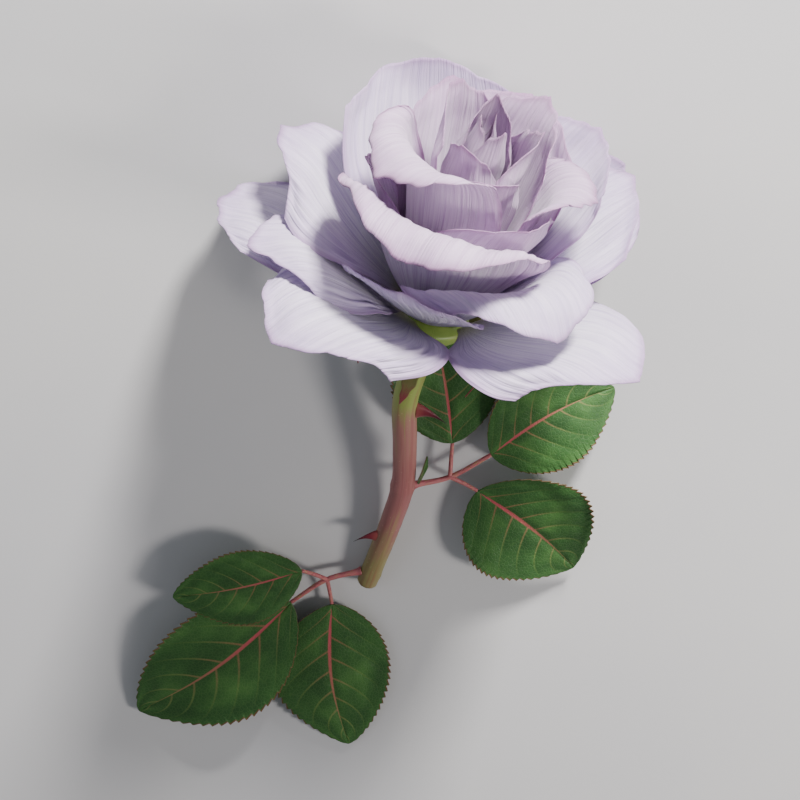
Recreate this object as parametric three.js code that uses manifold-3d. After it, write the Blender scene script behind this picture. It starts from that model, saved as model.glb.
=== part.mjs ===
// A cut hybrid tea rose, lying on a table: millimetres, +Z up, +Y from the cut end towards the bloom.
// Every petal stands on the rim of the hip. It is placed by its turn about the bloom's own axis, and shaped by
// how far it leans out from that axis at its foot, its middle and its tip, so the petals nest in order.
// Places on the stem and leaves are in mm from the middle of the seat the petals stand on.
import * as THREE from "three";
import Module from "manifold-3d";

const manifold = await Module();
manifold.setup();

// Petals
const petalLength = 57; // foot to tip, along the midline of a full petal
const petalWidth = 58; // across a full petal
const petalThickness = 0.45;
const clawWidth = 4.2; // the narrow foot of every petal
const seatInner = 3.4; // radius at which the innermost petal stands
const seatOuter = 9.8; // and the outermost
const seatDrop = 3.4; // how much lower the outermost foot is
const widest = 0.7; // share of the length at which a petal is widest
const shoulder = 0.88; // width at the top margin, as a share of the widest
const topRound = 0.17; // how much shorter the petal is at its sides
const tipPoint = 0.04; // how far the tip stands out, as a share of the length
const rollStart = 0.5; // where a side margin starts to roll, from midline to edge

// Hip and sepals
const hipLength = 15;
const hipBulge = 1; // how far the hip stands out beyond the outermost petal foot
const sepalLength = 26;
const sepalWidth = 7;
const sepalThickness = 0.7;

// Stem, thorns and leaves
const stemRadius = 3.8;
const stemTaper = 0.84; // radius at the cut end, as a share of stemRadius
const thornLength = 9; // the upper one
const thornRadius = 1.9; // half the width of its base
const thornStretch = 1.5; // how much longer its base is along the stem
const petioleRadius = 1; // where the leaf stalk leaves the stem
const petiolePinch = 0.7; // radius at its far end, as a share of petioleRadius
const leafThickness = 0.6;
const leafSize = 1; // of every leaflet, about its foot
const gap = 0.35; // left between pieces that grew together

// How the rose lies
const seatHeight = 28; // the petals' seat above the table
const bloomRise = 15; // degrees from level
const bloomHeading = 14; // degrees from +Y towards +X
const bloomTwist = -8; // degrees about the bloom's own axis
const pressBlend = 3; // how gently a petal or leaf turns along the table, in mm

// name, turn, length and width as shares of a full petal, lean in degrees at foot, middle and tip,
// where the lip starts, roll of the two side margins in degrees, cup and tilt in mm
const petals = [
  ["petal_01", 70, 1.0, 0.28, 1, -1, -4, 0.75, 0, 0, 0, 0.3],
  ["petal_02", 190, 0.97, 0.34, 4, 1, 4, 0.75, 0, 0, 0, 0.4],
  ["petal_03", 310, 0.96, 0.36, 5, 1.5, 12, 0.75, 0, 0, 0, 0.3],
  ["petal_04", 100, 1.03, 0.4, 8, 3, 10, 0.78, 5, 5, 0, 0.3],
  ["petal_05", 240, 0.9, 0.46, 11, 4.5, 34, 0.8, 10, 10, 0, 0.4],
  ["petal_06", 10, 0.97, 0.45, 12.7, 5.8, 32, 0.8, 10, 10, 0, 0.5],
  ["petal_07", 140, 1.04, 0.52, 15, 7.5, 34, 0.8, 15, 15, 0, 0.5],
  ["petal_08", 285, 0.88, 0.54, 17.6, 9, 56, 0.8, 15, 15, 0, 0.5],
  ["petal_09", 57, 1.04, 0.58, 20, 10.5, 50, 0.8, 20, 20, 0, 0.6],
  ["petal_10", 225, 1.12, 0.8, 24, 12.5, 150, 0.74, 20, 20, 0, 0.7],
  ["petal_11", 0, 0.96, 0.6, 26, 16, 120, 0.78, 30, 30, 0, 0.6],
  ["petal_12", 118, 0.98, 0.7, 30, 18, 60, 0.78, 20, 20, 0, 0.7],
  ["petal_13", 305, 0.84, 0.68, 33, 21, 60, 0.8, 20, 20, 0, 0.8],
  ["petal_14", 78, 0.99, 0.8, 36, 23, 60, 0.8, 20, 20, 0, 0.7],
  ["petal_15", 192, 0.78, 0.5, 36, 24.5, 55, 0.78, 15, 15, 0, 0.7],
  ["petal_16", 257, 1.04, 1.12, 38, 26, 150, 0.74, 35, 30, 0, 0.6],
  ["petal_17", 47, 1.02, 0.76, 39, 28.5, 60, 0.76, 20, 20, 0, 0.6],
  ["petal_18", 116, 1.1, 1.14, 41, 34, 60, 0.78, 20, 30, 0, 0.6],
  ["petal_19", 314, 0.9, 0.98, 45, 32.5, 138, 0.56, 30, 30, 0, 0.6],
  ["petal_20", 40, 1.0, 0.9, 47, 47, 75, 0.74, 20, 20, 0, 0.6],
  ["petal_21", 100, 0.8, 0.58, 51, 50, 45, 0.7, 20, 20, 0, 0.6],
  ["petal_22", 257, 0.75, 0.7, 53, 48, 52, 0.84, 20, 20, 0, 0.6],
  ["petal_23", 162, 0.98, 0.98, 52, 51, 98, 0.68, 30, 30, 0, 0.6],
  ["petal_24", 55, 1.06, 1.0, 55, 53, 65, 0.74, 30, 20, 0, 0.6],
  ["petal_25", 122, 0.88, 0.76, 59, 57, 55, 0.66, 20, 20, 0, 0.6],
  ["petal_26", 203, 0.86, 0.76, 60, 56, 112, 0.54, 35, 30, 0, 0.6],
  ["petal_27", 235, 0.94, 0.99, 67, 64, 120, 0.54, 35, 20, 0, 0.6],
  ["petal_28", 335, 0.94, 1.08, 69, 60, 106, 0.56, 20, 30, 0, 0.6],
  ["petal_29", 172, 0.98, 0.84, 72, 76, 112, 0.6, 20, 20, 0, 0.6],
];

// the sepals' first turn about the bloom's axis and their lean from it at foot and tip, in degrees
const sepalCount = 5;
const sepalFirstTurn = 54;
const sepalLeanFoot = 96;
const sepalLeanTip = 198;

// name, foot, tip, width, tilt in degrees about its length, then in mm: sideways bow of the midrib,
// arch of the midrib, and how far the sides stand up
const leaflets = [
  ["leaflet_left_end", [-44, -109.4, -21.5], [-95, -153.3, -26], 39, 4, 2, 4, 3],
  ["leaflet_left_near", [-31.4, -111.5, -24], [-27, -167, -27], 38, -4, -3, 1, -1],
  ["leaflet_left_far", [-40, -95, -16.5], [-80, -105, -17.5], 24, 8, 1, 1, 1],
  ["leaflet_right_end", [17.2, -57.8, -21.5], [53, -37, -25], 34, 6, 4, 3, 3],
  ["leaflet_right_upper", [5.6, -54, -22], [-2, -11, -25], 31, 0, -1, 1, 2],
  ["leaflet_right_lower", [13.3, -70, -21.5], [44, -99, -26], 42, 8, 3, 3, 3],
];

const radians = THREE.MathUtils.degToRad;
const ramp = THREE.MathUtils.smoothstep;
const vector = (place) => new THREE.Vector3(...place);

// The bloom's own frame, +Z along its axis from the seat, set down in the lying rose.
const twist = new THREE.Matrix4().makeRotationZ(radians(bloomTwist));
const pose = new THREE.Euler(radians(bloomRise - 90), 0, radians(-bloomHeading), "ZXY");
const bloomPose = new THREE.Matrix4().makeRotationFromEuler(pose).multiply(twist);

// Where a sheet would dip below its level, it turns along it instead.
function pressed(point, level) {
  const above = point.z - level;
  point.z = level + (above + Math.hypot(above, pressBlend)) / 2;
  return point;
}

// Radius and height of a petal's midline at even steps of its length, summed from its lean.
const meridianSteps = 60;
const meridianReach = 1.15; // a pointed tip runs a little past the length
function meridian(petal) {
  const step = (petal.length * meridianReach) / meridianSteps;
  const line = [[petal.seat, petal.foot]];
  for (let i = 0; i < meridianSteps; i++) {
    const lean = leanAt(petal, ((i + 0.5) * step) / petal.length);
    const [r, z] = line[i];
    line.push([r + step * Math.sin(lean), z + step * Math.cos(lean)]);
  }
  return line;
}

function leanAt(petal, share) {
  const middle = ramp(share, 0, 0.45) * (petal.leanMiddle - petal.leanFoot);
  const lip = ramp(share, petal.lip, 1) * (petal.leanTip - petal.leanMiddle);
  return radians(petal.leanFoot + middle + lip);
}

function describePetal(row, index) {
  const [name, turn, length, width, leanFoot, leanMiddle, leanTip, lip, rollRight, rollLeft, cup, tilt] = row;
  const out = index / (petals.length - 1); // 0 for the innermost petal, 1 for the outermost
  const petal = {
    name,
    out,
    turn: radians(turn),
    length: length * petalLength,
    halfWidth: (width * petalWidth) / 2,
    leanFoot,
    leanMiddle,
    leanTip,
    lip,
    rolls: [radians(rollRight), radians(rollLeft)],
    cup,
    tilt,
    seat: seatInner + (seatOuter - seatInner) * out,
    foot: -seatDrop * out,
    level: petalThickness * (0.5 + (petals.length - 1 - index) * 1.2) - seatHeight,
  };
  petal.line = meridian(petal);
  return petal;
}

function halfWidthAt(petal, v) {
  const claw = clawWidth / 2;
  const rise = Math.sin((Math.PI / 2) * Math.min(1, v / widest));
  const fall = 1 - (1 - shoulder) * Math.max(0, (v - widest) / (1 - widest)) ** 2;
  return claw + (petal.halfWidth - claw) * rise ** 1.1 * fall;
}

// A point of the petal's middle surface: u runs across from -1 to 1, v from the foot, 0, to the tip, 1.
function petalPoint(petal, u, v) {
  const side = Math.abs(u);
  const along = v * (1 - topRound * side ** 2.6 * v) + tipPoint * v ** 6 * Math.max(0, 1 - 2.5 * side) ** 2;
  const place = Math.min(along / meridianReach, 0.9999) * meridianSteps;
  const low = Math.floor(place);
  const [r0, z0] = petal.line[low];
  const [r1, z1] = petal.line[low + 1];
  const r = r0 + (r1 - r0) * (place - low);
  const z = z0 + (z1 - z0) * (place - low);
  const lean = leanAt(petal, along);

  const half = halfWidthAt(petal, v);
  const flat = half * rollStart;
  const roll = petal.rolls[u < 0 ? 0 : 1] * ramp(v, 0.3, 0.85);
  let across = side * half;
  let inward = petal.cup * side ** 2 * ramp(v, 0, 0.7) + petal.tilt * u * ramp(v, 0, 0.3);
  if (across > flat && roll > 0.01) {
    const radius = (half - flat) / roll;
    const bend = (across - flat) / radius;
    across = flat + radius * Math.sin(bend);
    inward -= radius * (1 - Math.cos(bend));
  }
  const turn = petal.turn + (Math.sign(u) * across) / r;
  const reach = r - inward * Math.cos(lean);
  const point = new THREE.Vector3(reach * Math.cos(turn), reach * Math.sin(turn), z + inward * Math.sin(lean));
  return pressed(point.applyMatrix4(bloomPose), petal.level);
}

// A sepal folds back from under the rim of the hip and hangs along the stem.
function sepalPoint(turn, u, v) {
  const steps = 12;
  let r = seatOuter + hipBulge + gap + sepalThickness;
  let z = -seatDrop - hipBulge - sepalThickness;
  for (let i = 0; i < steps; i++) {
    const lean = radians(sepalLeanFoot + (sepalLeanTip - sepalLeanFoot) * ramp((i * v) / steps, 0, 0.6));
    r += ((sepalLength * v) / steps) * Math.sin(lean);
    z += ((sepalLength * v) / steps) * Math.cos(lean);
  }
  const half = (sepalWidth / 2) * (0.06 + 0.94 * (1 - v) ** 0.8 * Math.min(1, 0.6 + v * 2));
  const angle = turn + (u * half) / r;
  return new THREE.Vector3(r * Math.cos(angle), r * Math.sin(angle), z).applyMatrix4(bloomPose);
}

// A point of a leaflet's middle surface: u across, v from its foot to its tip.
function leafPoint(leaf, u, v) {
  const [, foot, tip, width, tilt, bow, arch, stand] = leaf;
  const base = vector(foot);
  const along = vector(tip).sub(base).multiplyScalar(leafSize);
  const across = new THREE.Vector3(-along.y, along.x, 0).normalize();
  across.applyAxisAngle(along.clone().normalize(), radians(tilt));
  const up = along.clone().cross(across).normalize();
  const half = ((width * leafSize) / 2) * (0.03 + 0.97 * Math.sin(Math.PI * v ** 0.85) ** 0.75);
  const curve = Math.sin(Math.PI * v);
  const point = base.addScaledVector(along, v);
  point.addScaledVector(across, u * half + bow * curve);
  point.addScaledVector(up, arch * curve + stand * u * u * curve);
  return pressed(point, leafThickness / 2 - seatHeight);
}

// A closed shell of even thickness about surface(u, v), with stepsU by stepsV faces on each side.
function shell(surface, stepsU, stepsV, thickness) {
  const nudge = 1e-3;
  const positions = [];
  for (const side of [1, -1]) {
    for (let j = 0; j <= stepsV; j++) {
      for (let i = 0; i <= stepsU; i++) {
        const u = -1 + (2 * i) / stepsU;
        const v = j / stepsV;
        const alongU = surface(Math.min(1, u + nudge), v).sub(surface(Math.max(-1, u - nudge), v));
        const alongV = surface(u, Math.min(1, v + nudge)).sub(surface(u, Math.max(0, v - nudge)));
        const normal = alongU.cross(alongV).normalize();
        const p = surface(u, v).addScaledVector(normal, (side * thickness) / 2);
        positions.push(p.x, p.y, p.z);
      }
    }
  }
  const row = stepsU + 1;
  const back = row * (stepsV + 1);
  const faces = [];
  const quad = (a, b, c, d) => faces.push(a, b, c, a, c, d);
  for (let j = 0; j < stepsV; j++) {
    for (let i = 0; i < stepsU; i++) {
      const a = j * row + i;
      quad(a, a + 1, a + 1 + row, a + row);
      quad(back + a, back + a + row, back + a + 1 + row, back + a + 1);
    }
  }
  const rim = [];
  for (let i = 0; i < stepsU; i++) rim.push(i);
  for (let j = 0; j < stepsV; j++) rim.push(j * row + stepsU);
  for (let i = stepsU; i > 0; i--) rim.push(stepsV * row + i);
  for (let j = stepsV; j > 0; j--) rim.push(j * row);
  rim.forEach((a, k) => {
    const b = rim[(k + 1) % rim.length];
    quad(b, a, a + back, b + back);
  });
  return closed(positions, faces);
}

// A solid of round sections along a curve, closed at both ends.
function limb(curve, radiusAt, steps, sides) {
  const frames = curve.computeFrenetFrames(steps, false);
  const positions = [];
  const faces = [];
  for (let i = 0; i <= steps; i++) {
    const middle = curve.getPointAt(i / steps);
    for (let k = 0; k < sides; k++) {
      const angle = (2 * Math.PI * k) / sides;
      const p = middle.clone();
      p.addScaledVector(frames.normals[i], radiusAt(i / steps) * Math.cos(angle));
      p.addScaledVector(frames.binormals[i], radiusAt(i / steps) * Math.sin(angle));
      positions.push(p.x, p.y, p.z);
    }
  }
  const start = (steps + 1) * sides;
  for (const end of [0, 1]) positions.push(...curve.getPointAt(end).toArray());
  for (let k = 0; k < sides; k++) {
    const next = (k + 1) % sides;
    for (let i = 0; i < steps; i++) {
      const a = i * sides;
      faces.push(a + k, a + next, a + sides + next, a + k, a + sides + next, a + sides + k);
    }
    faces.push(start, next, k, start + 1, steps * sides + k, steps * sides + next);
  }
  return closed(positions, faces);
}

function closed(positions, faces) {
  const geometry = new THREE.BufferGeometry();
  geometry.setAttribute("position", new THREE.Float32BufferAttribute(positions, 3));
  geometry.setIndex(faces);
  geometry.computeVertexNormals();
  return geometry;
}

// Several solids grown into one.
function joined(geometries) {
  const solids = geometries.map((geometry) => {
    const vertProperties = geometry.getAttribute("position").array;
    const triVerts = Uint32Array.from(geometry.getIndex().array);
    return new manifold.Manifold(new manifold.Mesh({ numProp: 3, vertProperties, triVerts }));
  });
  const mesh = manifold.Manifold.union(solids).getMesh();
  return closed(Array.from(mesh.vertProperties), Array.from(mesh.triVerts));
}

const rose = new THREE.Group();
function add(name, geometry, color, roughness) {
  const mesh = new THREE.Mesh(geometry, new THREE.MeshStandardMaterial({ color, roughness, metalness: 0 }));
  mesh.name = name;
  rose.add(mesh);
}

const rosyLilac = new THREE.Color(0xd6c3dc);
const paleLilac = new THREE.Color(0xddd6ea);
const green = 0x3f6b3c;
const stalkPink = 0xb06a66;
const thornRed = 0x7a2030;

const petalStepsU = 8;
const petalStepsV = 7;
petals.map(describePetal).forEach((petal) => {
  const surface = (u, v) => petalPoint(petal, u, v);
  const color = rosyLilac.clone().lerp(paleLilac, petal.out);
  add(petal.name, shell(surface, petalStepsU, petalStepsV, petalThickness), color, 0.6);
});

// The hip's top follows the petals' feet, a gap below them.
const rim = seatOuter + hipBulge;
const hipTop = -gap - petalThickness;
const hipProfile = [
  [0, hipTop],
  [seatInner, hipTop],
  [rim - 0.4, hipTop - (seatDrop * (rim - seatInner)) / (seatOuter - seatInner)],
  [rim, -seatDrop - hipBulge - petalThickness - 0.4],
  [0.88 * rim, -0.55 * hipLength],
  [0.62 * rim, -0.78 * hipLength],
  [1.1 * stemRadius, -0.95 * hipLength],
  [stemRadius, -hipLength],
  [0, -hipLength],
].map(([r, z]) => new THREE.Vector2(r, z)).reverse();
const hip = new THREE.LatheGeometry(hipProfile, 24);
hip.rotateX(Math.PI / 2);
add("hip", hip.applyMatrix4(bloomPose), 0x6f8a3e, 0.55);

for (let i = 0; i < sepalCount; i++) {
  const turn = radians(sepalFirstTurn + (360 / sepalCount) * i);
  const surface = (u, v) => sepalPoint(turn, u, v);
  add(`sepal_${i + 1}`, shell(surface, 4, 9, sepalThickness), green, 0.6);
}

// The stem leaves the hip along the bloom's axis, sinks to the table and ends in the cut.
const axis = new THREE.Vector3(0, 0, 1).applyMatrix4(bloomPose);
const stemTop = axis.clone().multiplyScalar(-hipLength - gap);
const stemEndRadius = stemRadius * stemTaper;
const stemLine = [
  stemTop,
  stemTop.clone().addScaledVector(axis, -5),
  new THREE.Vector3(-8.5, -34.5, -10),
  new THREE.Vector3(-8.6, -50, -13.5),
  new THREE.Vector3(-9.2, -66, -17.5),
  new THREE.Vector3(-12.6, -80, -21),
  new THREE.Vector3(-20.6, -104.8, stemEndRadius - seatHeight),
];
const stem = new THREE.CatmullRomCurve3(stemLine, false, "centripetal");
const stemRadiusAt = (t) => stemRadius * (1 + (stemTaper - 1) * t);
add("stem", limb(stem, stemRadiusAt, 24, 14), 0xa06a58, 0.5);

// A thorn stands on the stem's skin at share t of its length and hooks towards the cut end.
function thorn(name, t, outward, size) {
  const down = stem.getTangentAt(t);
  const out = vector(outward).projectOnPlane(down).normalize();
  const cross = out.clone().cross(down);
  const hook = new THREE.QuadraticBezierCurve3(
    new THREE.Vector3(0, 0, 0),
    new THREE.Vector3(0.5 * thornLength * size, 0, 0),
    new THREE.Vector3(thornLength * size, 0.28 * thornLength * size, 0),
  );
  const narrowing = (s) => thornRadius * size * (0.06 + 0.94 * (1 - s) ** 1.7);
  const geometry = limb(hook, narrowing, 7, 10);
  geometry.scale(1, thornStretch, 1);
  geometry.applyMatrix4(new THREE.Matrix4().makeBasis(out, down, cross));
  const skin = stem.getPointAt(t).addScaledVector(out, stemRadiusAt(t) + gap);
  add(name, geometry.translate(...skin.toArray()), thornRed, 0.45);
}
thorn("thorn_upper", 0.26, [1, 0, 0.15], 1);
thorn("thorn_lower", 0.79, [-1, 0, 0.3], 0.75);

// A leaf stalk runs from the stem's skin to its fork and on to the foot of three leaflets.
function stalk(name, t, fork, rows) {
  const joint = stem.getPointAt(t);
  const away = vector(fork).sub(joint).projectOnPlane(stem.getTangentAt(t)).normalize();
  const start = joint.addScaledVector(away, stemRadiusAt(t) + gap + petioleRadius / 2);
  const middle = vector(fork);
  const [end, ...sides] = rows.map(([, foot, tip]) => {
    const inward = vector(foot).sub(vector(tip)).normalize();
    return vector(foot).addScaledVector(inward, gap + leafThickness / 2);
  });
  const line = new THREE.CatmullRomCurve3([start, middle, end], false, "centripetal");
  const thinning = (s) => petioleRadius * (1 + (petiolePinch - 1) * s);
  const thin = () => petioleRadius * petiolePinch;
  const branches = sides.map((side) => limb(new THREE.LineCurve3(middle, side), thin, 2, 8));
  add(name, joined([limb(line, thinning, 12, 8), ...branches]), stalkPink, 0.5);
}
stalk("stalk_left", 0.95, [-32.7, -102.1, -23], leaflets.slice(0, 3));
stalk("stalk_right", 0.57, [5, -65.3, -21.5], leaflets.slice(3));

leaflets.forEach((leaf) => {
  add(leaf[0], shell((u, v) => leafPoint(leaf, u, v), 8, 9, leafThickness), green, 0.5);
});

// The stipule is a small blade beside the right leaf stalk's foot.
const stipule = ["stipule", [-4.6, -65, -16.8], [-2, -54.5, -13.8], 3.4, 60, 0.4, 0.3, 0.3];
add(stipule[0], shell((u, v) => leafPoint(stipule, u, v), 4, 5, leafThickness), green, 0.6);

// The table's surface is z = 0, under the middle of the rose.
const box = new THREE.Box3().setFromObject(rose);
const centre = box.getCenter(new THREE.Vector3());
rose.position.set(-centre.x, -centre.y, -box.min.z);

export default rose;
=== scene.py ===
# %% [markdown]
# # A cut rose lying on a table
#
# A hybrid tea rose is a spiral of thin petals standing on the rim of a green hip. The innermost ones wrap a
# tight cone and the outer ones lean out, roll their side margins back and fold their lips over. Below the hip
# hang five sepals. The stem carries hooked thorns and two leaves of three toothed leaflets on a pink stalk.
#
# The frame gives the place and size of every piece. Its coarse parts could be subdivided and textured, but
# then the veins, teeth and ripples would be paint. So each piece is made again here as a finer sheet or limb
# in the same place, and those details are real geometry.

# %% The frame
import math

import bpy
import numpy as np
from mathutils import Matrix, Vector


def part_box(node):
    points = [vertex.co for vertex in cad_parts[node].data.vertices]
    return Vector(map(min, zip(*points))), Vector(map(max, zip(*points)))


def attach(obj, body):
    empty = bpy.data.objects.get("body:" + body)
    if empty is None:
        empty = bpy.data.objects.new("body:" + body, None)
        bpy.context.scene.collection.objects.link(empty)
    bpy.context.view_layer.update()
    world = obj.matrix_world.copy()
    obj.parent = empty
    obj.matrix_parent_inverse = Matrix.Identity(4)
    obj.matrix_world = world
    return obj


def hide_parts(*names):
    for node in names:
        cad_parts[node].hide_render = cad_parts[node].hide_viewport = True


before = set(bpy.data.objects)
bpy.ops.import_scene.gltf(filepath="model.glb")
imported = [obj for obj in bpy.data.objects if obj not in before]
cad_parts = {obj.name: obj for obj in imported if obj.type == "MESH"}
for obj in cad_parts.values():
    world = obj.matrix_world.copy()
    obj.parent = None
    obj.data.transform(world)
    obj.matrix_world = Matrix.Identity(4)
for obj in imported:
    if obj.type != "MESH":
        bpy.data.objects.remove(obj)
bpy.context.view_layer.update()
mm = 0.001
print("nodes in the frame:", len(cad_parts))

# %% [markdown]
# ## How the rose lies
#
# All places are in millimetres from the middle of the seat that the petals stand on. The bloom's own axis
# rises a little from the table, because the wide bloom props itself up on its lower petals while the cut end
# of the stem touches down. Each petal could be turned by hand, but one rotation for the whole bloom keeps the
# petals nested. A sheet that would dip into the table turns along it instead.

# %% Bloom pose
SEAT_HEIGHT = 28
BLOOM_RISE = 15
BLOOM_HEADING = 14
BLOOM_TWIST = -8
PRESS_BLEND = 3

pose = (
    Matrix.Rotation(math.radians(-BLOOM_HEADING), 3, "Z")
    @ Matrix.Rotation(math.radians(BLOOM_RISE - 90), 3, "X")
    @ Matrix.Rotation(math.radians(BLOOM_TWIST), 3, "Z")
)
pose = np.array(pose)
axis = pose @ np.array([0, 0, 1])


def blend(x, low, high):
    """A smooth step from 0 at low to 1 at high."""
    t = np.clip((x - low) / (high - low), 0, 1)
    return t * t * (3 - 2 * t)


def pressed(points, level):
    """Moves points that would be under the level up to it, with a soft turn where they meet it."""
    above = points[..., 2] - level
    points[..., 2] = level + (above + np.hypot(above, PRESS_BLEND)) / 2
    return points


print("the bloom's axis points to", np.round(axis, 3))

# %% [markdown]
# ## The petals' growth
#
# Each petal is one row: its turn about the bloom's axis, its length and width as shares of a full petal, how
# far its midline leans from the axis at the foot, the middle and the tip, where the lip starts, how far the
# right and left margins roll back, and its cup and tilt. The rows run from the heart outwards. Both the seat
# and the lean grow down the list, so every petal stays outside the ones before it. Sculpting each petal would
# allow more freedom, but a row is easy to read and to change, and the order keeps petals from crossing.

# %% Petal rows
PETAL_LENGTH = 57
PETAL_WIDTH = 58
PETAL_THICKNESS = 0.45
CLAW_WIDTH = 4.2
SEAT_INNER = 3.4
SEAT_OUTER = 9.8
SEAT_DROP = 3.4
WIDEST = 0.7
SHOULDER = 0.88
TOP_ROUND = 0.17
TIP_POINT = 0.04
ROLL_START = 0.5

# name, turn, length, width, lean at foot, middle and tip, lip, right roll, left roll, cup, tilt
petal_rows = [
    ("petal_01", 70, 1.0, 0.28, 1, -1, -4, 0.75, 0, 0, 0, 0.3),
    ("petal_02", 190, 0.97, 0.34, 4, 1, 4, 0.75, 0, 0, 0, 0.4),
    ("petal_03", 310, 0.96, 0.36, 5, 1.5, 12, 0.75, 0, 0, 0, 0.3),
    ("petal_04", 100, 1.03, 0.4, 8, 3, 10, 0.78, 5, 5, 0, 0.3),
    ("petal_05", 240, 0.9, 0.46, 11, 4.5, 34, 0.8, 10, 10, 0, 0.4),
    ("petal_06", 10, 0.97, 0.45, 12.7, 5.8, 32, 0.8, 10, 10, 0, 0.5),
    ("petal_07", 140, 1.04, 0.52, 15, 7.5, 34, 0.8, 15, 15, 0, 0.5),
    ("petal_08", 285, 0.88, 0.54, 17.6, 9, 56, 0.8, 15, 15, 0, 0.5),
    ("petal_09", 57, 1.04, 0.58, 20, 10.5, 50, 0.8, 20, 20, 0, 0.6),
    ("petal_10", 225, 1.12, 0.8, 24, 12.5, 150, 0.74, 20, 20, 0, 0.7),
    ("petal_11", 0, 0.96, 0.6, 26, 16, 120, 0.78, 30, 30, 0, 0.6),
    ("petal_12", 118, 0.98, 0.7, 30, 18, 60, 0.78, 20, 20, 0, 0.7),
    ("petal_13", 305, 0.84, 0.68, 33, 21, 60, 0.8, 20, 20, 0, 0.8),
    ("petal_14", 78, 0.99, 0.8, 36, 23, 60, 0.8, 20, 20, 0, 0.7),
    ("petal_15", 192, 0.78, 0.5, 36, 24.5, 55, 0.78, 15, 15, 0, 0.7),
    ("petal_16", 257, 1.04, 1.12, 38, 26, 150, 0.74, 35, 30, 0, 0.6),
    ("petal_17", 47, 1.02, 0.76, 39, 28.5, 60, 0.76, 20, 20, 0, 0.6),
    ("petal_18", 116, 1.1, 1.14, 41, 34, 60, 0.78, 20, 30, 0, 0.6),
    ("petal_19", 314, 0.9, 0.98, 45, 32.5, 138, 0.56, 30, 30, 0, 0.6),
    ("petal_20", 40, 1.0, 0.9, 47, 47, 75, 0.74, 20, 20, 0, 0.6),
    ("petal_21", 100, 0.8, 0.58, 51, 50, 45, 0.7, 20, 20, 0, 0.6),
    ("petal_22", 257, 0.75, 0.7, 53, 48, 52, 0.84, 20, 20, 0, 0.6),
    ("petal_23", 162, 0.98, 0.98, 52, 51, 98, 0.68, 30, 30, 0, 0.6),
    ("petal_24", 55, 1.06, 1.0, 55, 53, 65, 0.74, 30, 20, 0, 0.6),
    ("petal_25", 122, 0.88, 0.76, 59, 57, 55, 0.66, 20, 20, 0, 0.6),
    ("petal_26", 203, 0.86, 0.76, 60, 56, 112, 0.54, 35, 30, 0, 0.6),
    ("petal_27", 235, 0.94, 0.99, 67, 64, 120, 0.54, 35, 20, 0, 0.6),
    ("petal_28", 335, 0.94, 1.08, 69, 60, 106, 0.56, 20, 30, 0, 0.6),
    ("petal_29", 172, 0.98, 0.84, 72, 76, 112, 0.6, 20, 20, 0, 0.6),
]
print("petals:", len(petal_rows))

# %% [markdown]
# ## One petal's surface
#
# A real petal grows from a narrow claw, bends outwards along its length and rolls at its margins. A plane
# with bend modifiers could do that, but each modifier hides where its points end up. Here the midline is
# summed step by step from its lean. Across it, the petal widens to its shoulders and wraps about the
# bloom's axis, so a wide petal is cupped without any extra work. The margins then bend back along an arc.
# Everything is worked out for a whole grid of points at once.

# %% Petal surface
STEPS = 120
REACH = 1.15  # the midline goes on a little past the tip, for points that the top margin draws up
MIDDLE_LEAN_AT = 0.45
SHEET_STACK = 1.2  # each petal rests this many thicknesses above the next one out
RISE_POWER = 1.1


def lean_at(p, share):
    """The midline's lean from the bloom's axis, in radians, at a share of the petal's length."""
    middle = blend(share, 0, MIDDLE_LEAN_AT) * (p["middle"] - p["foot_lean"])
    lip = blend(share, p["lip"], 1) * (p["tip"] - p["middle"])
    return np.radians(p["foot_lean"] + middle + lip)


def describe(row, index):
    """One petal's sizes and its midline, from its row."""
    name, turn, length, width, foot, middle, tip, lip, right, left, cup, tilt = row
    last = len(petal_rows) - 1
    out = index / last
    p = {"name": name, "index": index, "out": out, "turn": math.radians(turn)}
    p.update(length=length * PETAL_LENGTH, half=width * PETAL_WIDTH / 2, lip=lip, cup=cup, tilt=tilt)
    p.update(foot_lean=foot, middle=middle, tip=tip, rolls=(math.radians(right), math.radians(left)))
    p["level"] = PETAL_THICKNESS * (0.5 + (last - index) * SHEET_STACK) - SEAT_HEIGHT
    step = p["length"] * REACH / STEPS
    lean = lean_at(p, (np.arange(STEPS) + 0.5) * step / p["length"])
    seat = SEAT_INNER + (SEAT_OUTER - SEAT_INNER) * out
    p["r"] = seat + np.concatenate([[0], np.cumsum(step * np.sin(lean))])
    p["z"] = -SEAT_DROP * out + np.concatenate([[0], np.cumsum(step * np.cos(lean))])
    return p


def half_width(p, v):
    """Half of the petal's width at a share of its length."""
    claw = CLAW_WIDTH / 2
    rise = np.sin(np.pi / 2 * np.minimum(1, v / WIDEST))
    fall = 1 - (1 - SHOULDER) * np.maximum(0, (v - WIDEST) / (1 - WIDEST)) ** 2
    return claw + (p["half"] - claw) * rise**RISE_POWER * fall


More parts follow.
